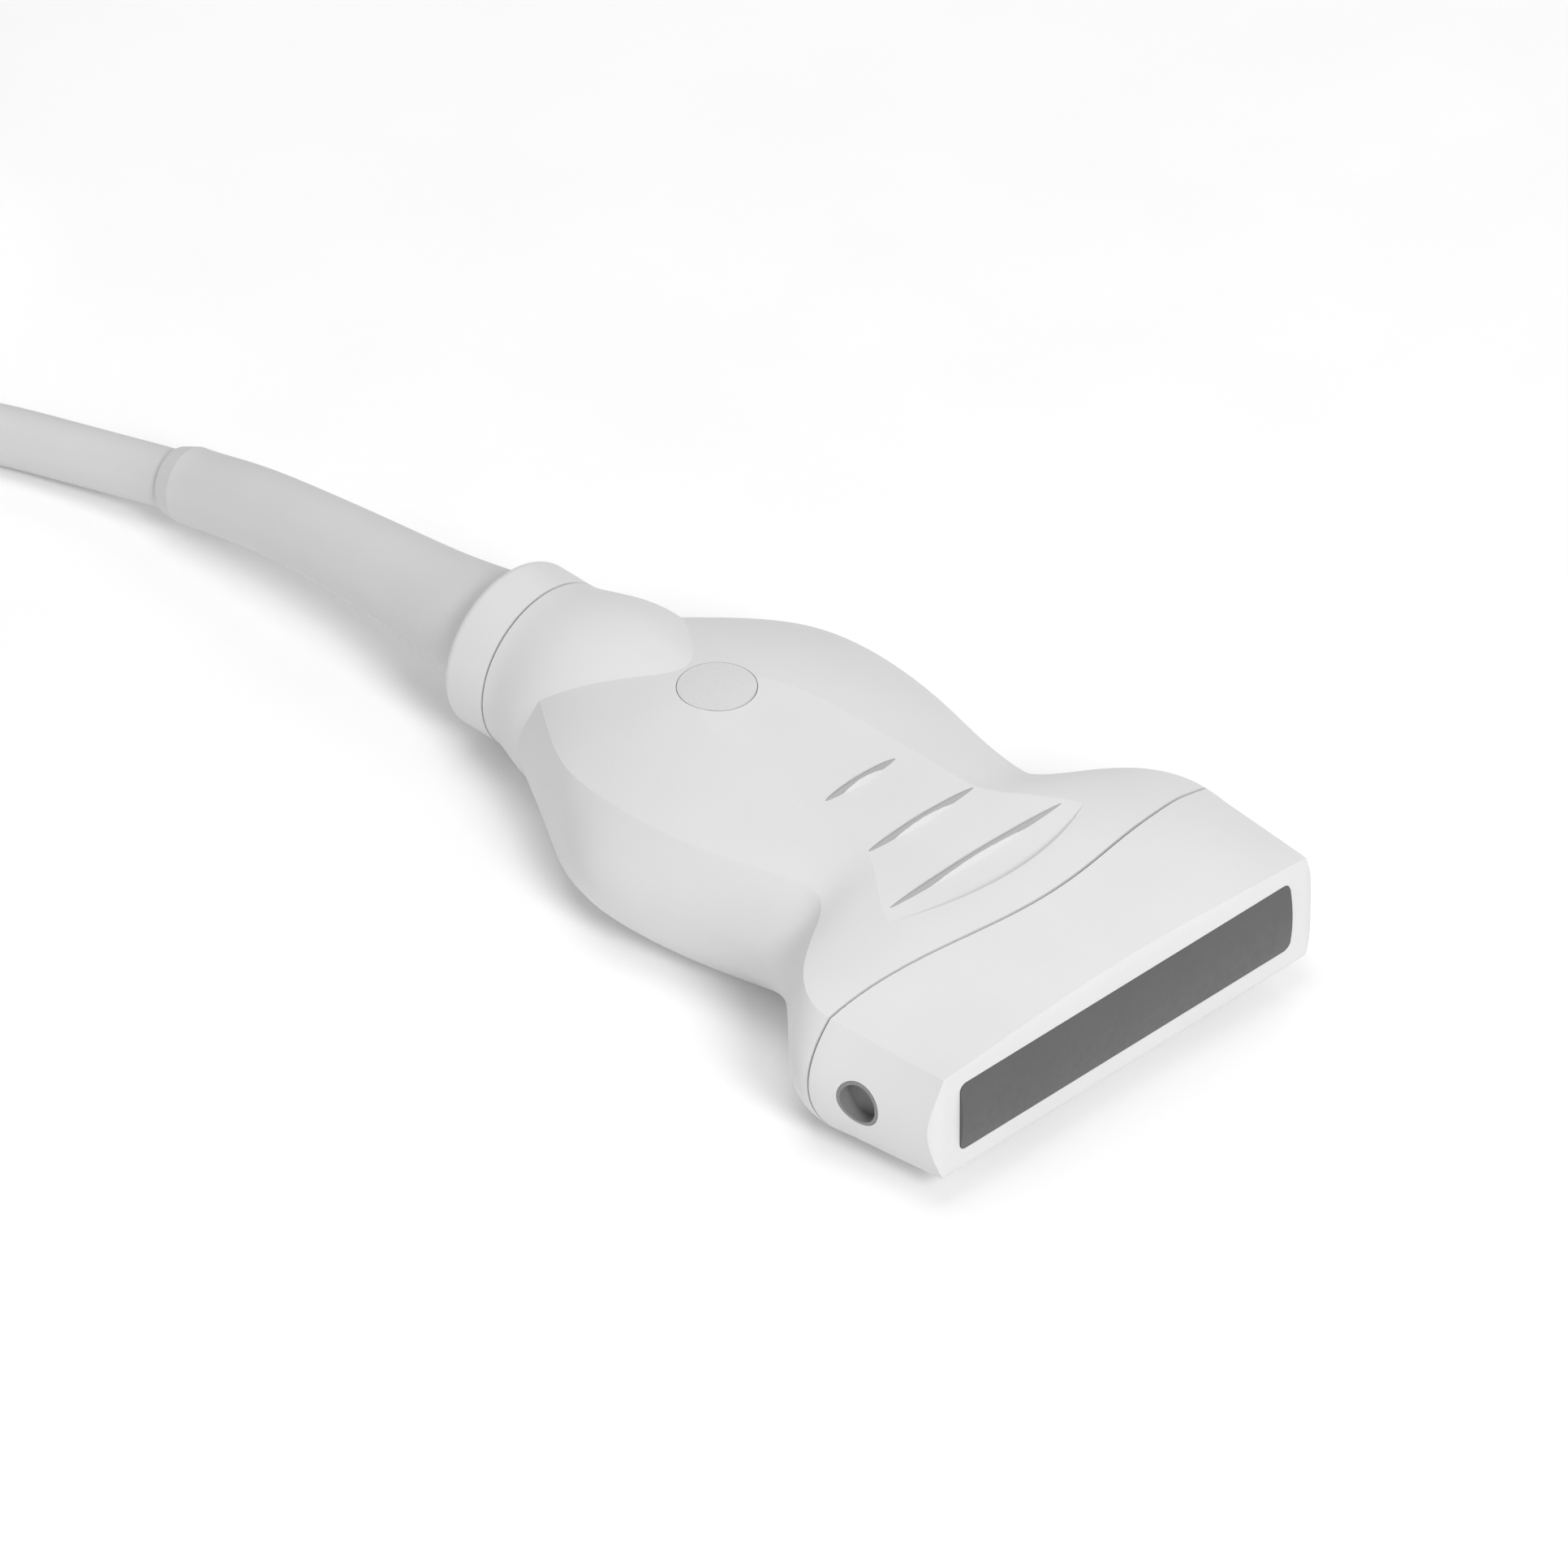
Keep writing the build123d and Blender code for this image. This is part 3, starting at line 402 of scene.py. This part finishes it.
# %% [markdown]
# ## The tie round the coil
#
# A hook-and-loop strap holds the put-away lead. It is a soft band, so it isn't left as a hard ring: a thin
# section with rounded edges is carried round the bundle, point by point, and its free end lies over its own
# start. A bevelled curve would twist at the corners, while a mesh swept by hand keeps the band flat. Its UV
# map is laid out in metres, so that the weave runs along the band.

# %% The strap
TIE_Y = 0.1895
TIE_BUNDLE = [(0.02955, 0.0043), (0.02955, 0.0183), (0.02155, 0.0253), (0.02155, 0.0043)]
TIE_RADIUS = 0.0039
TIE_START = 0.0025
TIE_OVERLAP = 0.0105
TIE_RAMP = 0.0045
TIE_LAYER = 0.00085
TIE_STEP = 0.0008
TIE_HALF_THICKNESS = 0.0004
TIE_SHEEN = 0.3
TIE_SECTION = [
    (-0.0070, 0.0), (-0.0068, 0.00032), (-0.0045, TIE_HALF_THICKNESS), (0.0, TIE_HALF_THICKNESS),
    (0.0045, TIE_HALF_THICKNESS), (0.0068, 0.00032), (0.0070, 0.0), (0.0068, -0.00032),
    (0.0045, -TIE_HALF_THICKNESS), (0.0, -TIE_HALF_THICKNESS), (-0.0045, -TIE_HALF_THICKNESS),
    (-0.0068, -0.00032),
]


def loop_runs():
    """Straight runs and arcs of a band drawn tight round the bundle, from its outer side up."""
    runs = []
    corners = [Vector(corner) for corner in TIE_BUNDLE]
    for i, corner in enumerate(corners):
        following, after = corners[(i + 1) % len(corners)], corners[(i + 2) % len(corners)]
        along = (following - corner).normalized()
        out = Vector((along.y, -along.x))
        runs.append(("straight", (following - corner).length, corner + out * TIE_RADIUS, along, out))
        turn = along.angle((after - following).normalized())
        runs.append(("arc", turn * TIE_RADIUS, following, along, out))
    return runs


def loop_point(runs, distance):
    """Place and outward direction at a distance along the loop."""
    distance %= sum(run[1] for run in runs)
    for kind, length, origin, along, out in runs:
        if distance <= length:
            if kind == "straight":
                return origin + along * distance, out
            angle = distance / TIE_RADIUS
            turned = out * math.cos(angle) + along * math.sin(angle)
            return origin + turned * TIE_RADIUS, turned
        distance -= length
    return runs[0][2], runs[0][4]


def strap_mesh():
    """Band round the coil, open at its ends, with a cap on each."""
    runs = loop_runs()
    loop = sum(run[1] for run in runs)
    steps = round((loop + TIE_OVERLAP) / TIE_STEP)
    points, faces, places = [], [], []
    for step in range(steps + 1):
        along = (loop + TIE_OVERLAP) * step / steps
        lift = TIE_LAYER * min(1.0, max(0.0, (along - loop + TIE_RAMP) / TIE_RAMP))
        middle, out = loop_point(runs, TIE_START + along)
        for across, height in TIE_SECTION:
            place = middle + out * (lift + height)
            points.append((place.x, TIE_Y + across, place.y))
            places.append((along, across))
    ring = len(TIE_SECTION)
    for step in range(steps):
        for i in range(ring):
            j = (i + 1) % ring
            faces.append((step * ring + i, step * ring + j, (step + 1) * ring + j, (step + 1) * ring + i))
    faces.append(tuple(reversed(range(ring))))
    faces.append(tuple(steps * ring + i for i in range(ring)))
    mesh = bpy.data.meshes.new("strap")
    mesh.from_pydata(points, [], faces)
    layer = mesh.uv_layers.new(name="UVMap")
    for corner in mesh.loops:
        layer.data[corner.index].uv = places[corner.vertex_index]
    return mesh


strap_data = strap_mesh()
strap_form = bmesh.new()
strap_form.from_mesh(strap_data)
bmesh.ops.recalc_face_normals(strap_form, faces=strap_form.faces)
strap_form.to_mesh(strap_data)
strap_form.free()
strap_data.polygons.foreach_set("use_smooth", [True] * len(strap_data.polygons))
strap = bpy.data.objects.new("strap", strap_data)
bpy.context.collection.objects.link(strap)
strap_cloth = woven("strap_cloth", tint(84, 86, 90), tint(122, 124, 128), 0.0006, (0.75, 0.90), 0.00012, "UV")
strap_cloth.node_tree.nodes["Principled BSDF"].inputs["Sheen Weight"].default_value = TIE_SHEEN
strap_data.materials.append(strap_cloth)
give(strap_cloth, "coil_tie")
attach(strap, "root")
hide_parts("coil_tie")
print("strap of", len(strap_data.polygons), "faces;", len(dressed), "of", len(nodes), "CAD pieces dressed")

# %% [markdown]
# ## Stitches and finger ribs
#
# The strap's end is sewn down with a box of stitches, and the plug has a row of slim ribs on each side for
# the fingers. Both are one small spindle repeated along a line, which is what Geometry Nodes is for: the line
# becomes a curve, is cut into even steps, and each step gets a spindle turned along the line. The tree's
# inputs are the pitch, the spindle's half sizes and the finish, so that one tree makes both rows.

# %% A tree for rows of spindles


def spindle_tree():
    """Geometry Nodes tree that sets spindles at an even pitch along the edges of a mesh."""
    tree = bpy.data.node_groups.new("spindle_row", "GeometryNodeTree")
    face = tree.interface
    face.new_socket("Line", in_out="INPUT", socket_type="NodeSocketGeometry")
    face.new_socket("Pitch", in_out="INPUT", socket_type="NodeSocketFloat")
    face.new_socket("Half sizes", in_out="INPUT", socket_type="NodeSocketVector")
    face.new_socket("Finish", in_out="INPUT", socket_type="NodeSocketMaterial")
    face.new_socket("Row", in_out="OUTPUT", socket_type="NodeSocketGeometry")
    given = tree.nodes.new("NodeGroupInput")
    made = tree.nodes.new("NodeGroupOutput")
    curve = tree.nodes.new("GeometryNodeMeshToCurve")
    cut = tree.nodes.new("GeometryNodeResampleCurve")
    cut.mode = "LENGTH"
    tangent = tree.nodes.new("GeometryNodeInputTangent")
    turn = tree.nodes.new("FunctionNodeAlignRotationToVector")
    turn.axis = "X"
    ball = tree.nodes.new("GeometryNodeMeshUVSphere")
    ball.inputs["Segments"].default_value = 12
    ball.inputs["Rings"].default_value = 8
    ball.inputs["Radius"].default_value = 1.0
    sized = tree.nodes.new("GeometryNodeTransform")
    placed = tree.nodes.new("GeometryNodeInstanceOnPoints")
    real = tree.nodes.new("GeometryNodeRealizeInstances")
    smooth = tree.nodes.new("GeometryNodeSetShadeSmooth")
    finish = tree.nodes.new("GeometryNodeSetMaterial")
    link = tree.links.new
    link(given.outputs["Line"], curve.inputs["Mesh"])
    link(curve.outputs["Curve"], cut.inputs["Curve"])
    link(given.outputs["Pitch"], cut.inputs["Length"])
    link(tangent.outputs["Tangent"], turn.inputs["Vector"])
    link(ball.outputs["Mesh"], sized.inputs["Geometry"])
    link(given.outputs["Half sizes"], sized.inputs["Scale"])
    link(cut.outputs["Curve"], placed.inputs["Points"])
    link(sized.outputs["Geometry"], placed.inputs["Instance"])
    link(turn.outputs["Rotation"], placed.inputs["Rotation"])
    link(placed.outputs["Instances"], smooth.inputs["Geometry"])
    link(smooth.outputs["Geometry"], real.inputs["Geometry"])
    link(real.outputs["Geometry"], finish.inputs["Geometry"])
    link(given.outputs["Finish"], finish.inputs["Material"])
    link(finish.outputs["Geometry"], made.inputs["Row"])
    return tree


def grown(name, ends, tree, values):
    """Runs a tree on straight lines between pairs of ends, and keeps its result as a plain mesh."""
    line = bpy.data.meshes.new(name + "_line")
    points = [point for pair in ends for point in pair]
    line.from_pydata(points, [(2 * i, 2 * i + 1) for i in range(len(ends))], [])
    piece = bpy.data.objects.new(name, line)
    bpy.context.collection.objects.link(piece)
    modifier = piece.modifiers.new("grown", "NODES")
    modifier.node_group = tree
    for socket in tree.interface.items_tree:
        if socket.name in values:
            modifier[socket.identifier] = values[socket.name]
    seen = piece.evaluated_get(bpy.context.evaluated_depsgraph_get())
    made = bpy.data.meshes.new_from_object(seen)
    piece.modifiers.remove(modifier)
    piece.data = made
    made.name = name
    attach(piece, "root")
    print(name, len(made.polygons), "faces")
    return piece


# %% Stitches on the strap's end and ribs on the plug
STITCH_MARGIN = 0.0016
STITCH_HALF_BOX = 0.0052
STITCH_PITCH = 0.0022
STITCH_HALF_SIZES = (0.0009, 0.00024, 0.00024)
STITCH_X = TIE_BUNDLE[0][0] + TIE_RADIUS + TIE_LAYER + TIE_HALF_THICKNESS
STITCH_LOW = TIE_BUNDLE[0][1] + TIE_START + STITCH_MARGIN
STITCH_HIGH = TIE_BUNDLE[0][1] + TIE_START + TIE_OVERLAP - STITCH_MARGIN
stitch_left = TIE_Y - STITCH_HALF_BOX
stitch_right = TIE_Y + STITCH_HALF_BOX
stitch_box = [
    ((STITCH_X, stitch_left, STITCH_LOW), (STITCH_X, stitch_left, STITCH_HIGH)),
    ((STITCH_X, stitch_right, STITCH_LOW), (STITCH_X, stitch_right, STITCH_HIGH)),
    ((STITCH_X, stitch_left, STITCH_LOW), (STITCH_X, stitch_right, STITCH_LOW)),
    ((STITCH_X, stitch_left, STITCH_HIGH), (STITCH_X, stitch_right, STITCH_HIGH)),
]
thread_grey = woven("thread_grey", tint(150, 152, 156), tint(176, 178, 182), 0.0002, (0.70, 0.85),
                    0.00004, "Object")
spindles = spindle_tree()
stitch = {"Pitch": STITCH_PITCH, "Half sizes": STITCH_HALF_SIZES, "Finish": thread_grey}
stitches = grown("strap_stitches", stitch_box, spindles, stitch)

PLUG_MIDDLE_X = -0.0330
PLUG_HALF_WIDTH = 0.0175
RIB_START = 0.2645
RIB_END = 0.2885
RIB_HEIGHT = 0.0090
RIB_PITCH = 0.0024
RIB_HALF_SIZES = (0.00055, 0.00045, 0.0052)
rib_lines = []
for side in (-1.0, 1.0):
    rib_x = PLUG_MIDDLE_X + side * PLUG_HALF_WIDTH
    rib_lines.append(((rib_x, RIB_START, RIB_HEIGHT), (rib_x, RIB_END, RIB_HEIGHT)))
rib = {"Pitch": RIB_PITCH, "Half sizes": RIB_HALF_SIZES, "Finish": plug_grey}
ribs = grown("plug_ribs", rib_lines, spindles, rib)

# %% [markdown]
# ## Soft ridges on the thumb rest
#
# Three slim ridges stop the thumb from slipping. Along the crest of each runs a tapering darker grey strip,
# which is painted shade: it stands for the shading line of the ridge. Each strip is a spindle again, but here
# its length follows its line, so a second small tree sets one ball at the middle of every line and draws it
# out to the line's ends. It stands a hair's breadth proud of the ridge, and its ends sink into the thumb
# rest.

# %% A tree for ridges


def ridge_tree():
    """Geometry Nodes tree that turns every edge of a mesh into a spindle of the edge's length."""
    tree = bpy.data.node_groups.new("ridges", "GeometryNodeTree")
    face = tree.interface
    face.new_socket("Lines", in_out="INPUT", socket_type="NodeSocketGeometry")
    face.new_socket("Half width", in_out="INPUT", socket_type="NodeSocketFloat")
    face.new_socket("Half height", in_out="INPUT", socket_type="NodeSocketFloat")
    face.new_socket("Finish", in_out="INPUT", socket_type="NodeSocketMaterial")
    face.new_socket("Ridges", in_out="OUTPUT", socket_type="NodeSocketGeometry")
    given = tree.nodes.new("NodeGroupInput")
    made = tree.nodes.new("NodeGroupOutput")
    curve = tree.nodes.new("GeometryNodeMeshToCurve")
    cut = tree.nodes.new("GeometryNodeResampleCurve")
    cut.inputs["Count"].default_value = 3
    along = tree.nodes.new("GeometryNodeSplineParameter")
    middle = tree.nodes.new("FunctionNodeCompare")
    middle.operation = "EQUAL"
    middle.inputs["B"].default_value = 0.5
    middle.inputs["Epsilon"].default_value = 0.1
    reach = tree.nodes.new("GeometryNodeSplineLength")
    halved = tree.nodes.new("ShaderNodeMath")
    halved.operation = "MULTIPLY"
    halved.inputs[1].default_value = 0.5
    size = tree.nodes.new("ShaderNodeCombineXYZ")
    ball = tree.nodes.new("GeometryNodeMeshUVSphere")
    ball.inputs["Segments"].default_value = 20
    ball.inputs["Rings"].default_value = 40
    ball.inputs["Radius"].default_value = 1.0
    laid = tree.nodes.new("GeometryNodeTransform")
    laid.inputs["Rotation"].default_value = (0.0, math.pi / 2.0, 0.0)
    placed = tree.nodes.new("GeometryNodeInstanceOnPoints")
    smooth = tree.nodes.new("GeometryNodeSetShadeSmooth")
    real = tree.nodes.new("GeometryNodeRealizeInstances")
    finish = tree.nodes.new("GeometryNodeSetMaterial")
    link = tree.links.new
    link(given.outputs["Lines"], curve.inputs["Mesh"])
    link(curve.outputs["Curve"], cut.inputs["Curve"])
    link(along.outputs["Factor"], middle.inputs["A"])
    link(reach.outputs["Length"], halved.inputs[0])
    link(halved.outputs["Value"], size.inputs["X"])
    link(given.outputs["Half width"], size.inputs["Y"])
    link(given.outputs["Half height"], size.inputs["Z"])
    link(ball.outputs["Mesh"], laid.inputs["Geometry"])
    link(cut.outputs["Curve"], placed.inputs["Points"])
    link(middle.outputs["Result"], placed.inputs["Selection"])
    link(laid.outputs["Geometry"], placed.inputs["Instance"])
    link(size.outputs["Vector"], placed.inputs["Scale"])
    link(placed.outputs["Instances"], smooth.inputs["Geometry"])
    link(smooth.outputs["Geometry"], real.inputs["Geometry"])
    link(real.outputs["Geometry"], finish.inputs["Geometry"])
    link(given.outputs["Finish"], finish.inputs["Material"])
    link(finish.outputs["Geometry"], made.inputs["Ridges"])
    return tree


# %% Three ridges
RIDGES = [(-0.0070, 0.02103, 0.0062), (-0.0165, 0.02060, 0.0093), (-0.0251, 0.02021, 0.0152)]
RIDGE_SIZES = {"Half width": 0.0006, "Half height": 0.00098}
ridge_lines = [((-reach, y, z), (reach, y, z)) for y, z, reach in RIDGES]
# The strips' darker grey is painted shade along each ridge's crest.
ridge_painted_shade_grey = moulded("ridge_painted_shade_grey", tint(182, 182, 182), tint(175, 175, 175), (0.52, 0.64), 0.0004, 0.00003)
ridges = grown("ridge_painted_shade_strips", ridge_lines, ridge_tree(), {**RIDGE_SIZES, "Finish": ridge_painted_shade_grey})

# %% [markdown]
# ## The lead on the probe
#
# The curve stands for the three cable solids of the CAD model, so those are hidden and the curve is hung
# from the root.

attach(lead, "root")
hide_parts("cable_run", "cable_coil", "cable_tail")

# %% [markdown]
# ## Table and light
#
# The picture has a plain white ground. A wide pale floor keeps the probe's soft shadow, so that it sits on
# something. A low lamp in front skims over the ridges and the thumb rest's rim, a wide one overhead evens out
# the upper side, a weak one behind lifts the far side, and the white room fills the rest. Together they light
# a level surface nearly as brightly as its colour is written, so the grey stays the grey of the plastic. What
# the floor lacks to be white is added only for rays from the camera or from a mirror-like surface, so it
# lights nothing.

# %% Floor
FLOOR_HALF = 3.0
floor_data = bpy.data.meshes.new("floor")
floor_data.from_pydata([(-FLOOR_HALF, -FLOOR_HALF, 0.0), (FLOOR_HALF, -FLOOR_HALF, 0.0),
                        (FLOOR_HALF, FLOOR_HALF, 0.0), (-FLOOR_HALF, FLOOR_HALF, 0.0)], [], [(0, 1, 2, 3)])
floor = bpy.data.objects.new("floor", floor_data)
bpy.context.collection.objects.link(floor)
floor_white = moulded("floor_white", tint(254, 254, 254), tint(252, 252, 252), (0.85, 0.95), 0.002, 0.00002)
floor_data.materials.append(floor_white)
print("floor", 2.0 * FLOOR_HALF, "m wide")

# %% A white ground that keeps the shadow
GROUND_LIFT = 0.10
floor_tree = floor_white.node_tree
floor_shader = floor_tree.nodes["Principled BSDF"]
rays = floor_tree.nodes.new("ShaderNodeLightPath")
seen = rays.outputs["Is Camera Ray"]
for kind in ("Is Glossy Ray", "Is Transmission Ray"):
    either = floor_tree.nodes.new("ShaderNodeMath")
    either.operation = "MAXIMUM"
    floor_tree.links.new(seen, either.inputs[0])
    floor_tree.links.new(rays.outputs[kind], either.inputs[1])
    seen = either.outputs["Value"]
lift = floor_tree.nodes.new("ShaderNodeMath")
lift.operation = "MULTIPLY"
lift.inputs[1].default_value = GROUND_LIFT
floor_tree.links.new(seen, lift.inputs[0])
floor_tree.links.new(lift.outputs["Value"], floor_shader.inputs["Emission Strength"])
floor_shader.inputs["Emission Color"].default_value = (1.0, 1.0, 1.0, 1.0)
print("ground lifted by", GROUND_LIFT)

# %% Light
ROOM_STRENGTH = 0.40
world = bpy.data.worlds.new("room")
bpy.context.scene.world = world
world.use_nodes = True
room = world.node_tree.nodes["Background"]
room.inputs["Color"].default_value = (1.0, 1.0, 1.0, 1.0)
room.inputs["Strength"].default_value = ROOM_STRENGTH


def lamp(name, place, size, power):
    """A round soft lamp that faces the probe."""
    data = bpy.data.lights.new(name, "AREA")
    data.shape = "DISK"
    data.size = size
    data.energy = power
    holder = bpy.data.objects.new(name, data)
    holder.location = place
    holder.rotation_euler = Vector(place).to_track_quat("Z", "Y").to_euler()
    bpy.context.collection.objects.link(holder)
    print(name, power, "W")


lamp("key_lamp", (-0.4, -1.08, 0.85), 0.45, 9.8)
lamp("top_lamp", (-0.1, 0.1, 1.5), 0.9, 5.2)
lamp("back_lamp", (0.9, 0.5, 0.9), 0.7, 1.4)
